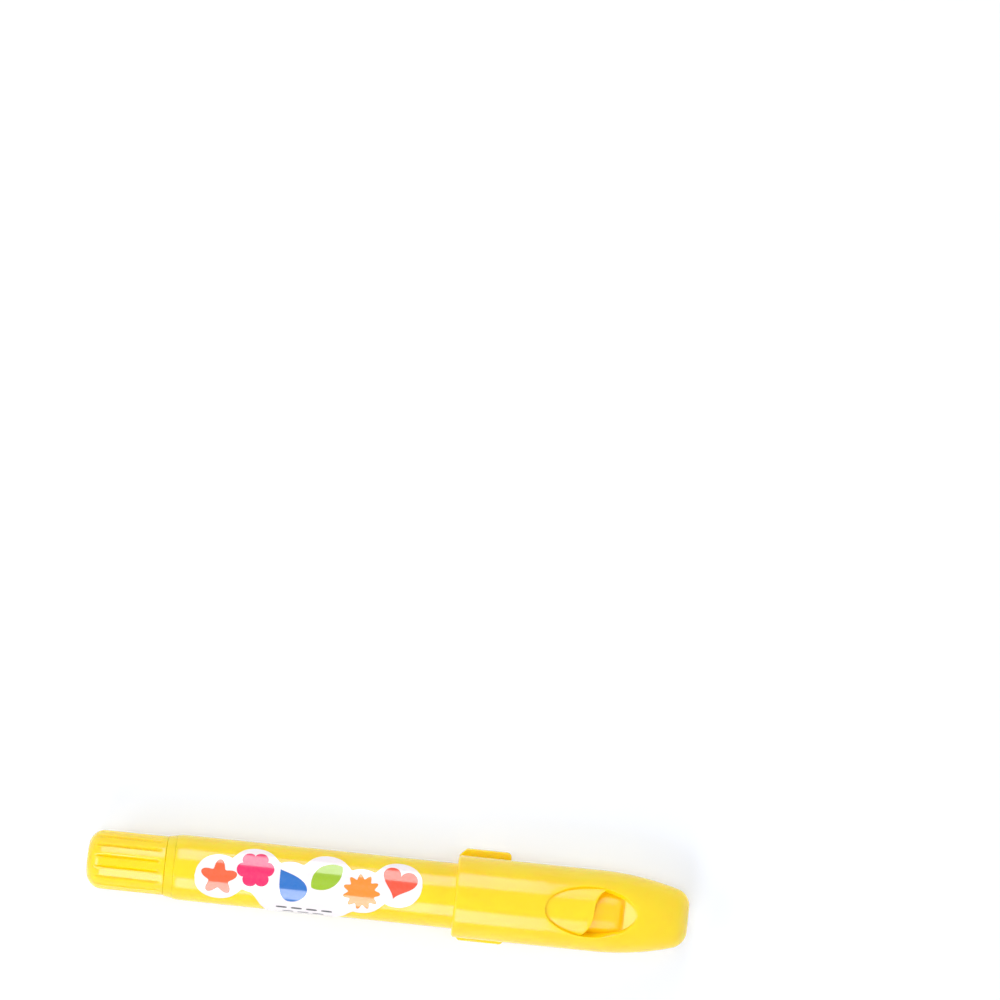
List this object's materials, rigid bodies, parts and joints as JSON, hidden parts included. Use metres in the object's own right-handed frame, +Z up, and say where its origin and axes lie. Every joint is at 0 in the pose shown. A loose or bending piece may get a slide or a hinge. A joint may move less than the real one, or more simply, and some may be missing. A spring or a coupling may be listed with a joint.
{
  "type": "twist crayon",
  "caption": "Chunky twist crayon: a fluted knob winds a wax stick out of a round barrel by a spiral sleeve; long pull-off cap with a flat foot and a pocket in its blunt bill.",
  "frame": {"origin": "bottom centre of the bounding box with the cap on: midway along the crayon, on the plane of the foot's underside", "axes": "+X along the crayon from the knob to the tip of the cap, +Y across, +Z up through the cap's oval pocket"},
  "size_m": [0.14, 0.0216, 0.0196],
  "materials": {
    "barrel_plastic": "glossy moulded yellow",
    "cap_plastic": "glossy moulded yellow, slightly translucent",
    "knob_plastic": "glossy moulded yellow, fluted",
    "mechanism_plastic": "natural white moulding",
    "crayon_wax": "waxy yellow",
    "ring_rubber": "matte black",
    "label_film": "glossy printed film"
  },
  "bodies": {
    "barrel": {"barrel": "barrel_plastic", "rear_collar": "barrel_plastic", "spiral_sleeve": "mechanism_plastic", "nose_guide": "barrel_plastic", "label_sticker": "label_film"},
    "knob": {"twist_knob": "knob_plastic", "drive_tube": "mechanism_plastic", "friction_ring": "ring_rubber"},
    "carriage": {"stick_carrier": "mechanism_plastic", "crayon_stick": "crayon_wax"},
    "cap": {"cap": "cap_plastic"}
  },
  "joints": [
    {"name": "knob_twist", "type": "hinge", "parent": "barrel", "child": "knob", "pos_m": [-0.0516, 0, 0.0101], "axis": [1, 0, 0], "range_deg": [-720, 720]},
    {"name": "carriage_slide", "type": "slide", "parent": "knob", "child": "carriage", "axis": [1, 0, 0], "range_m": [-0.02405, 0.02405]},
    {"name": "cap_pull", "type": "slide", "parent": "barrel", "child": "cap", "axis": [1, 0, 0], "range_m": [0, 0.06]}
  ],
  "couplings": [
    {"joint": "carriage_slide", "follows": "knob_twist", "m_per_rad": 0.0019099}
  ]
}
